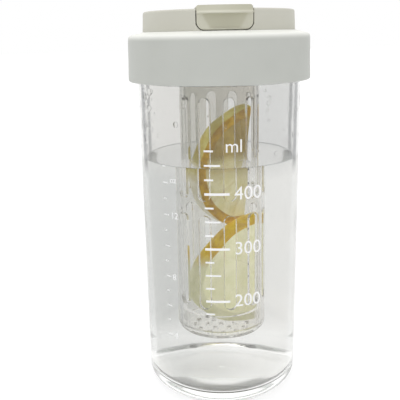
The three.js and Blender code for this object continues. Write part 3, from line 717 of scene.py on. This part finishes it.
collar_white = matt_plastic(
    "collar_white", COLLAR_WHITE, COLLAR_SHADE, 0.4, 1.4, 0.012, bright_crown, Specular_IOR_Level=0.08
)
piece(turned("collar", collar_section), collar_white, "lid", ["lid_collar"])

# Lid dome
# The raised, off-white top of the lid, moulded with a fine matt grain. A channel across
# its front half takes the flip cap, and its foot plugs into the collar.
DOME_IVORY = (0.605, 0.596, 0.522, 1)
DOME_SHADE = (0.58, 0.572, 0.5, 1)

dome_ivory = matt_plastic("dome_ivory", DOME_IVORY, DOME_SHADE, 0.55, 0.45, 0.02)
even(piece(moulded("lid_dome", "dome"), dome_ivory, "lid", ["lid_dome"]))

# Hinge pin
# A short length of drawn steel wire, pressed through the dome's bosses and the flip cap's
# barrel, with its two ends ground round.
PIN_RADIUS = 0.75
PIN_HALF = 15.2
PIN_ROUND = 0.3
PIN_STEEL = (0.56, 0.57, 0.58, 1)
PIN_STREAK = (0.42, 0.43, 0.45, 1)
PIN_STRETCH = (0.04, 1, 1)
HINGE_PLACE = Vector((0, 9.0, 180.6)) * MM

pin_section = [
    (0, -PIN_HALF),
    *arc(PIN_RADIUS - PIN_ROUND, PIN_ROUND - PIN_HALF, PIN_ROUND, -90, 0, 4),
    *arc(PIN_RADIUS - PIN_ROUND, PIN_HALF - PIN_ROUND, PIN_ROUND, 0, 90, 4),
    (0, PIN_HALF),
]
pin_mesh = turned("hinge_pin", pin_section, 32)
pin_mesh.transform(Matrix.Translation(HINGE_PLACE) @ Matrix.Rotation(math.pi / 2, 4, "Y"))
pin_steel, shader, place = finish("pin_steel", Metallic=1.0)
along_wire = place.node("ShaderNodeMapping", None, {"Vector": place, "Scale": PIN_STRETCH})
drawn = along_wire.noise(0.12, 3)
drawn.blend(PIN_STREAK, PIN_STEEL).into(shader, "Base Color")
(0.22 + 0.25 * drawn).into(shader, "Roughness")
drawn.relief(0.004).into(shader, "Normal")
piece(pin_mesh, pin_steel, "lid", ["flip_pin"])

# Flip cap
# The cream strap that closes the spout: moulded plastic, hinged on the pin, with a bevelled
# nose and a flat facet in its front lip for the thumb.
CAP_CREAM = (0.6, 0.59, 0.49, 1)
CAP_SHADE = (0.57, 0.56, 0.46, 1)
# Painted shade: darker tones for the top and for the thumb facet.
CAP_TOP_SHADE = (0.43, 0.42, 0.32, 1)
CAP_FACET_SHADE = (0.5, 0.488, 0.378, 1)
FACET_OUT = (34.5, 34.85)
FACET_LOW = (174.9, 175.3)
FACET_HIGH = (180.7, 181.0)
FACET_BEHIND = (-30.0, -28.0)
CAP_BEVEL = (181.2, 182.4)


def thumbed(place, lip):
    """The cap's tone, with painted shade: darker on the thumb facet, and on the top."""
    height = place.axis(2)
    across_lip = height.past(FACET_LOW) * (1 - height.past(FACET_HIGH))
    facet = across_lip * (1 - place.radius().past(FACET_OUT)) * (1 - place.axis(1).past(FACET_BEHIND))
    return height.past(CAP_BEVEL).blend(facet.blend(lip, CAP_FACET_SHADE), CAP_TOP_SHADE)


cap_cream = matt_plastic("cap_cream", CAP_CREAM, CAP_SHADE, 0.48, 0.4, 0.018, thumbed)
even(piece(moulded("flip_cap", "flip_strap"), cap_cream, "flip", ["flip_cap"]))

# Spout seal
# A silicone pad under the flip cap, held by two pegs, with a stopper for the spout and a
# small one for the air vent.
even(piece(moulded("spout_seal", "stopper_pad"), silicone, "flip", ["spout_seal"]))

# Infuser tube
# A clear moulded tube with two tiers of long slots, which lets the drink reach the fruit.
# It pushes on to the spigot under the lid.
TUBE_RADIUS = 19.0
TUBE_BORE = 17.2
TUBE_LOW = 31.3
TUBE_HIGH = 168.3
SLOT_COUNT = 10
SLOT_HALF = 2.65
SLOT_PHASE = -81.0
SLOT_TIERS = ((43.4, 90.9), (98.0, 145.2))
SLOT_EDGE = 0.3
SLOT_MARGIN = 1.6
SLOT_ROUND_STEPS = 8
SLOT_ROWS = 6
TUBE_FOOT_ROW = 5.0
TUBE_TOP_ROW = 8.0
BAR_STEPS = 4
# Painted shade in the tube's tints: darker above the water, there most on the left, with grey lines at
# grazing edges.
INFUSER_LOW_SHADED = ((0.95, 0.945, 0.93, 1), (0.9, 0.89, 0.865, 1))
INFUSER_HIGH_SHADED = ((0.7, 0.7, 0.66, 1), (0.83, 0.81, 0.77, 1))
INFUSER_EDGE_SHADE = ((0.8, 0.8, 0.78, 1), (0.4, 0.4, 0.38, 1))
INFUSER_BEND = 1.3
# Painted shade: the walls round the slots are tinted dark, so that they read as dark bars.
SLOT_WALL_SHADE = (0.5, 0.49, 0.45, 1)
SLOT_WALL_LIGHTER_SHADE = (0.68, 0.67, 0.63, 1)
SLOT_CUT = 1


def tube_rows():
    """(height, half width of the slot there) from the tube's foot to its top."""
    found = [(TUBE_LOW, 0.0), (TUBE_LOW + TUBE_FOOT_ROW, 0.0)]
    turns = [math.pi / 2 * i / SLOT_ROUND_STEPS for i in range(SLOT_ROUND_STEPS + 1)]
    rounds = [(SLOT_HALF * (1 - math.cos(a)), SLOT_HALF * math.sin(a)) for a in turns]
    for low, high in SLOT_TIERS:
        found.append((low - SLOT_MARGIN, 0.0))
        found += [(low + rise, half) for rise, half in rounds]
        found += [(low + (high - low) * i / SLOT_ROWS, SLOT_HALF) for i in range(1, SLOT_ROWS)]
        found += [(high - rise, half) for rise, half in reversed(rounds)]
        found.append((high + SLOT_MARGIN, 0.0))
    return found + [(TUBE_HIGH - TUBE_TOP_ROW, 0.0), (TUBE_HIGH, 0.0)]


def slotted_tube(name):
    """The tube's outer and inner walls as bars between slots, with walls round every slot."""
    shape = bmesh.new()
    pitch = math.tau / SLOT_COUNT
    heights = tube_rows()

    def wall_row(radius, z, half, sector):
        slot_edge = math.asin(half / radius)
        middle = math.radians(SLOT_PHASE) + sector * pitch
        spots = []
        for k in range(2 * BAR_STEPS + 1):
            a = middle + slot_edge + (pitch - 2 * slot_edge) * k / (2 * BAR_STEPS)
            spot = Vector((radius * math.cos(a), radius * math.sin(a), z)) * MM
            spots.append(shape.verts.new(spot))
        return spots

    for sector in range(SLOT_COUNT):
        outer = [wall_row(TUBE_RADIUS, z, half, sector) for z, half in heights]
        inner = [wall_row(TUBE_BORE, z, half, sector) for z, half in heights]
        for row in range(len(heights) - 1):
            out_low, out_high = outer[row : row + 2]
            in_low, in_high = inner[row : row + 2]
            for k in range(2 * BAR_STEPS):
                shape.faces.new((out_low[k], out_low[k + 1], out_high[k + 1], out_high[k]))
                shape.faces.new((in_low[k + 1], in_low[k], in_high[k], in_high[k + 1]))
            if heights[row][1] or heights[row + 1][1]:
                near = shape.faces.new((in_low[0], out_low[0], out_high[0], in_high[0]))
                far = shape.faces.new((out_low[-1], in_low[-1], in_high[-1], out_high[-1]))
                near.material_index = far.material_index = SLOT_CUT
        for k in range(2 * BAR_STEPS):
            shape.faces.new((inner[0][k], inner[0][k + 1], outer[0][k + 1], outer[0][k]))
            shape.faces.new((outer[-1][k], outer[-1][k + 1], inner[-1][k + 1], inner[-1][k]))
    bmesh.ops.remove_doubles(shape, verts=shape.verts, dist=WELD)
    return meshed(shape, name)


infuser_tints = (INFUSER_LOW_SHADED, INFUSER_HIGH_SHADED)
clear_infuser = clear_plastic("clear_infuser", infuser_tints, INFUSER_EDGE_SHADE, INFUSER_BEND)
tube = piece(slotted_tube("infuser"), clear_infuser, "infuser", ["infuser_tube"])
even(tube, SLOT_EDGE)
# Painted shade: a dark tint on the slot walls.
slot_shade_finish, shader, place = finish("slot_shade_finish", IOR=INFUSER_BEND, Transmission_Weight=1.0)
place.noise(4, 2).between(0.35, 0.65).blend(SLOT_WALL_SHADE, SLOT_WALL_LIGHTER_SHADE).into(shader, "Base Color")
(0.05 + 0.1 * place.noise(1.5, 2)).into(shader, "Roughness")
place.noise(0.8, 2).relief(0.01).into(shader, "Normal")
tube.data.materials.append(slot_shade_finish)

# Infuser strainer
# The plug that closes the tube's lower end, moulded in the same clear plastic, with a
# rounded edge and drain holes. It is pressed into the tube.
STRAINER_TINT = ((0.99, 0.985, 0.975, 1), (0.98, 0.975, 0.965, 1))
# Painted shade: a faint grey at grazing edges.
STRAINER_EDGE_SHADE = ((0.93, 0.93, 0.92, 1), (0.93, 0.93, 0.92, 1))

strainer_tints = (STRAINER_TINT, STRAINER_TINT)
clear_strainer = clear_plastic("clear_strainer", strainer_tints, STRAINER_EDGE_SHADE, INFUSER_BEND)
strainer_mesh = moulded("infuser_strainer", "strainer")
even(piece(strainer_mesh, clear_strainer, "infuser", ["infuser_strainer"]))

# Lemon
# Two half-moon slices of lemon that stand one above the other in the infuser: waxy rind round
# the curved side, white pith under it, and wet flesh in segments about the core.
# Painted light: the slices glow in their own colours, standing in for light that passes through them.
PEEL_PAINTED_GLOW = 0.42
FLESH_PAINTED_GLOW = 0.6
SEGMENTS = 5
SLICE_STEPS = 22
SLICE_SHARES = (0.14, 0.3, 0.48, 0.64, 0.76, 0.83, 0.9, 0.98)
SLICE_DISH = (0.46, 0.45, 0.46, 0.45, 0.46, 0.48, 0.49, 0.44)
CORE_DISH = 0.45
SLICE_BOW = 0.5
BROAD_LOBES = (0.018, 4)
FINE_LOBES = (0.01, 9)
CUT_RIND_ROWS = 2
CUT_ANGLE = math.radians(60)
CUT_CREASE = 0.75
FLESH, CUT_RIND, PEEL = range(3)
MEMBRANE = (0.02, 0.12)
PITH_START = (0.8, 0.92)
FIBRES_ROUND = 9
FIBRES_OUT = 3
ORANGE = ((0.82, 0.58, 0.01, 1), (0.66, 0.4, 0.005, 1))
BROWN = ((0.6, 0.37, 0.01, 1), (0.4, 0.22, 0.005, 1))
OLIVE = ((0.7, 0.62, 0.2, 1), (0.6, 0.48, 0.1, 1))
BEIGE = ((0.8, 0.76, 0.6, 1), (0.72, 0.67, 0.48, 1))
# Painted shade: the upper slice's flesh darkens towards its top, and its pith is darkened.
SHADED_TAN = ((0.29, 0.195, 0.03, 1), (0.4, 0.285, 0.06, 1))
CREAM = ((0.64, 0.6, 0.32, 1), (0.74, 0.71, 0.48, 1))
PALE_GREEN = ((0.78, 0.77, 0.47, 1), (0.86, 0.84, 0.58, 1))
PITH = (0.86, 0.83, 0.62, 1)
SHADED_PITH = (0.5, 0.4, 0.14, 1)


def half_moon(name, reach, half_height, thick, wobble, sag):
    """A half slice in its own X and Z: its core is at +X, its curved rind towards -X, and it sags
    towards the rind."""
    shape = bmesh.new()

    def spot(share, turn, y):
        broad = BROAD_LOBES[0] * math.sin(BROAD_LOBES[1] * turn + wobble)
        fine = FINE_LOBES[0] * math.sin(FINE_LOBES[1] * turn + 2 * wobble)
        swell = 1 + broad + fine
        x = reach / 2 - reach * share * swell * math.cos(turn)
        bow = SLICE_BOW * share * math.sin(2 * turn + wobble)
        height = half_height * share * swell * math.sin(turn) + sag * (x - reach / 2)
        return shape.verts.new(Vector((x, y + bow, height)) * MM)

    def face(corners, finish_index):
        shape.faces.new(list(dict.fromkeys(corners))).material_index = finish_index

    turns = [math.radians(180 * i / SLICE_STEPS - 90) for i in range(SLICE_STEPS + 1)]
    sides = []
    for way in (-1, 1):
        core = spot(0, 0, way * CORE_DISH * thick)
        rows_out = [[core] * len(turns)]
        for share, dish in zip(SLICE_SHARES, SLICE_DISH):
            rows_out.append([spot(share, turn, way * dish * thick) for turn in turns])
        sides.append(rows_out)
    rim = [spot(1, turn, 0) for turn in turns]
    last = len(SLICE_SHARES)
    for rows_out in sides:
        for j in range(last):
            for i in range(SLICE_STEPS):
                near, far = rows_out[j : j + 2]
                corners = near[i], near[i + 1], far[i + 1], far[i]
                face(corners, CUT_RIND if j >= last - CUT_RIND_ROWS else FLESH)
        for i in range(SLICE_STEPS):
            face((rows_out[last][i], rows_out[last][i + 1], rim[i + 1], rim[i]), PEEL)
    front, back = sides
    for i in (0, SLICE_STEPS):
        for j in range(last):
            corners = front[j][i], front[j + 1][i], back[j + 1][i], back[j][i]
            face(corners, CUT_RIND if j >= last - CUT_RIND_ROWS else FLESH)
        face((front[last][i], rim[i], back[last][i]), PEEL)
    bmesh.ops.recalc_face_normals(shape, faces=shape.faces)
    crease = shape.edges.layers.float.new("crease_edge")
    for edge in shape.edges:
        if edge.calc_face_angle() > CUT_ANGLE:
            edge[crease] = CUT_CREASE
    return meshed(shape, name, sharp=80)


def graded(name, glow, low, high, colours, size):
    """A wet finish that goes from one pair of colours low on the slice to another high on it, glowing with
    painted light of the given strength.
    """
    material, shader, place = finish(name, Emission_Strength=glow)
    mottle = place.noise(size, 3)
    rise = (place.axis(2) + (2 * size * MM) * (mottle - 0.5)).past((low, high))
    below, above = (mottle.between(0.35, 0.65).blend(*pair) for pair in colours)
    return material, shader, place, rise.blend(below, above)


def peel_finish(name, low, high, colours):
    """Rind: waxy, pitted, and mottled, and glowing in its own colour: painted light."""
    material, shader, place, rind = graded(name, PEEL_PAINTED_GLOW, low, high, colours, 3.5)
    rind.into(shader, "Base Color")
    rind.into(shader, "Emission Color")
    (0.3 + 0.2 * place.noise(1.2)).into(shader, "Roughness")
    place.noise(0.7, 2).relief(0.2).into(shader, "Normal")
    return material


def flesh_finish(name, reach, half_height, sag, low, high, colours, pith):
    """Pith and flesh, laid out by how far a spot is from the core and which way, and glowing in their own
    colours: painted light.
    """
    material, shader, place, flesh = graded(name, FLESH_PAINTED_GLOW, low, high, colours, 5)
    from_core = place.axis(0) - reach / 2 * MM
    x = from_core / (reach * MM)
    z = (place.axis(2) - sag * from_core) / (half_height * MM)
    out = (x * x + z * z) ** 0.5
    turn = x.maths("ARCTAN2", z, x * -1) * (SEGMENTS / math.pi)
    membrane = 1 - turn.maths("PINGPONG", turn, 0.5).between(*MEMBRANE)
    fibres = out.node("ShaderNodeCombineXYZ", None, {0: turn * FIBRES_ROUND, 1: out * FIBRES_OUT})
    pulp = fibres.node("ShaderNodeTexNoise", None, {"Vector": fibres, "Scale": 1.0, "Detail": 2.0})
    pale = 0.3 * membrane + 0.25 * pulp + 0.4 * out.between(*PITH_START)
    skin = pale.blend(flesh, pith)
    skin.into(shader, "Base Color")
    skin.into(shader, "Emission Color")
    (0.25 + 0.25 * place.noise(0.8, 3)).into(shader, "Roughness")
    (pulp - 0.5 * membrane).relief(0.3).into(shader, "Normal")
    return material


def lemon_slice(name, size, middle, facing, lean, flesh, cut_rind, peel):
    """One slice in its place. size is its reach, half height, thickness, wobble and sag, and each
    finish gives two heights on the slice and the pairs of colours below and above them. The flesh
    also has the colour of its pith."""
    reach, half_height, thick, wobble, sag = size
    mesh = half_moon(name, reach, half_height, thick, wobble, sag)
    made = bpy.data.objects.new(name, mesh)
    bpy.context.scene.collection.objects.link(made)
    made.matrix_world = (
        Matrix.Translation(Vector(middle) * MM)
        @ Matrix.Rotation(math.radians(facing), 4, "Z")
        @ Matrix.Rotation(math.radians(lean), 4, "X")
    )
    mesh.materials.append(flesh_finish(name, reach, half_height, sag, *flesh))
    mesh.materials.append(peel_finish(name + "_cut_rind", *cut_rind))
    mesh.materials.append(peel_finish(name + "_peel", *peel))
    soft = made.modifiers.new("soft", "SUBSURF")
    soft.levels = 1
    soft.render_levels = 1
    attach(made, "infuser")


# The upper slice is painted in shade: its flesh darkens towards the top, and its pith is tan.
lemon_slice(
    "lemon_upper",
    size=(29.0, 30.0, 7.0, 0.4, 0.0),
    middle=(-0.5, -0.6, 109.8),
    facing=35,
    lean=8,
    flesh=(-8, 10, (CREAM, SHADED_TAN), SHADED_PITH),
    cut_rind=(-30, -20, (BROWN, BROWN)),
    peel=(-6, 4, (BEIGE, OLIVE)),
)
lemon_slice(
    "lemon_lower",
    size=(31.0, 28.5, 6.0, 1.9, 0.2),
    middle=(0.6, -2.4, 58.9),
    facing=20,
    lean=2,
    flesh=(-20, 20, (PALE_GREEN, PALE_GREEN), PITH),
    cut_rind=(2, 11, (PALE_GREEN, ORANGE)),
    peel=(2, 11, (PALE_GREEN, ORANGE)),
)

# Studio
# A plain pale floor, a soft sky, a broad lamp from above, and a camera at the photograph's
# angle. Light runs far inside the clear walls, so it may bounce many times.
FLOOR_HALF = 6.0
FLOOR_DROP = 0.2
FLOOR_PALE = (0.12, 0.12, 0.12, 1)
FLOOR_SHADE = (0.11, 0.11, 0.11, 1)
FLOOR_GLOW = 0.9
FLOOR_LIGHT = (1, 1, 1, 1)
# Painted shadow: a dark ring in the floor's glow under the cup's foot, seen through the base.
CONTACT_SHADE = (0.03, 0.03, 0.025, 1)
CONTACT_START = (13.0, 19.0)
CONTACT_END = (32.0, 34.0)
SKY_FRONT = ((0.0, 1.0), (0.15, 1.0), (0.28, 0.7), (0.5, 0.65), (0.75, 1.0), (1.0, 1.3))
SKY_SIDE = ((0.0, 1.0), (0.15, 1.0), (0.28, 0.25), (0.5, 0.25), (0.75, 0.9), (1.0, 1.3))
SKY_BACK = ((0.0, 1.0), (0.5, 1.0), (0.75, 1.1), (1.0, 1.3))
SKY_FRONT_TO_SIDE = (-0.8, -0.3)
SKY_SIDE_TO_BACK = (0.3, 0.7)
LAMP_POWER = 1.0
LAMP_SPREAD = 30
LAMP_TILT = (2, -6)
CAMERA_DISTANCE = 284.1
CAMERA_HEIGHT = 173.05
CAMERA_LEFT = 4.7
CAMERA_DOWN = 15.738
CAMERA_TURN = 1.957
CAMERA_ROLL = 0.585
CAMERA_SENSOR = 36.0
CAMERA_NEAR = 10.0
IMAGE_WIDTH = 400
FOCAL_PIXELS = 591.2
MOST_BOUNCES = 96
CLEAR_BOUNCES = 64

floor_mesh = bpy.data.meshes.new("floor")
signs = ((-1, -1), (1, -1), (1, 1), (-1, 1))
floor_corners = [(x * FLOOR_HALF, y * FLOOR_HALF, -FLOOR_DROP * MM) for x, y in signs]
floor_mesh.from_pydata(floor_corners, [], [(0, 1, 2, 3)])
floor = bpy.data.objects.new("floor", floor_mesh)
bpy.context.scene.collection.objects.link(floor)
floor_paint, shader, place = finish("floor_paint", Roughness=0.7, Emission_Strength=FLOOR_GLOW)
away = place.node("ShaderNodeVectorMath", {"operation": "LENGTH"}, {0: place}, "Value")
painted_contact_shadow = away.past(CONTACT_START) - away.past(CONTACT_END)
painted_contact_shadow.blend(FLOOR_LIGHT, CONTACT_SHADE).into(shader, "Emission Color")
place.noise(80, 2).blend(FLOOR_PALE, FLOOR_SHADE).into(shader, "Base Color")
floor_mesh.materials.append(floor_paint)

world = bpy.data.worlds.new("studio_sky")
bpy.context.scene.world = world
world.use_nodes = True
view = Tone(world.node_tree).node("ShaderNodeTexCoord", out="Generated")
behind, up = view.axis(1), view.axis(2)


def sky_ramp(levels):
    """Grey levels of the sky by height, from the horizon to overhead."""
    stops = [(height, (level, level, level, 1)) for height, level in levels]
    return up.node("ShaderNodeValToRGB", {"stops": stops}, {0: up})


sides = behind.between(*SKY_FRONT_TO_SIDE).blend(sky_ramp(SKY_FRONT), sky_ramp(SKY_SIDE))
sky_colour = behind.between(*SKY_SIDE_TO_BACK).blend(sides, sky_ramp(SKY_BACK))
sky_colour.into(world.node_tree.nodes["Background"], "Color")

lamp_data = bpy.data.lights.new("soft_lamp", "SUN")
lamp_data.energy = LAMP_POWER
lamp_data.angle = math.radians(LAMP_SPREAD)
lamp = bpy.data.objects.new("soft_lamp", lamp_data)
bpy.context.scene.collection.objects.link(lamp)
lamp.rotation_euler = (math.radians(LAMP_TILT[0]), math.radians(LAMP_TILT[1]), 0)

left = math.radians(CAMERA_LEFT)
down = math.radians(CAMERA_DOWN)
ahead = Vector((math.sin(left), math.cos(left), 0))
right = Vector((math.cos(left), -math.sin(left), 0))
forward = ahead * math.cos(down) - Vector((0, 0, math.sin(down)))
upward = ahead * math.sin(down) + Vector((0, 0, math.cos(down)))


def swung(first, second, degrees):
    """Two directions at right angles, both swung in their plane by an angle."""
    a = math.radians(degrees)
    return first * math.cos(a) - second * math.sin(a), second * math.cos(a) + first * math.sin(a)


forward, right = swung(forward, right, CAMERA_TURN)
right, upward = swung(right, upward, CAMERA_ROLL)
camera_data = bpy.data.cameras.new("camera")
camera_data.lens = FOCAL_PIXELS / IMAGE_WIDTH * CAMERA_SENSOR
camera_data.sensor_width = CAMERA_SENSOR
camera_data.clip_start = CAMERA_NEAR * MM
camera = bpy.data.objects.new("camera", camera_data)
bpy.context.scene.collection.objects.link(camera)
camera.matrix_world = Matrix(
    (
        (right.x, upward.x, -forward.x, -ahead.x * CAMERA_DISTANCE * MM),
        (right.y, upward.y, -forward.y, -ahead.y * CAMERA_DISTANCE * MM),
        (right.z, upward.z, -forward.z, CAMERA_HEIGHT * MM),
        (0, 0, 0, 1),
    )
)
scene = bpy.context.scene
scene.camera = camera
scene.view_settings.view_transform = "Standard"
scene.cycles.max_bounces = MOST_BOUNCES
scene.cycles.transmission_bounces = CLEAR_BOUNCES
scene.cycles.glossy_bounces = CLEAR_BOUNCES
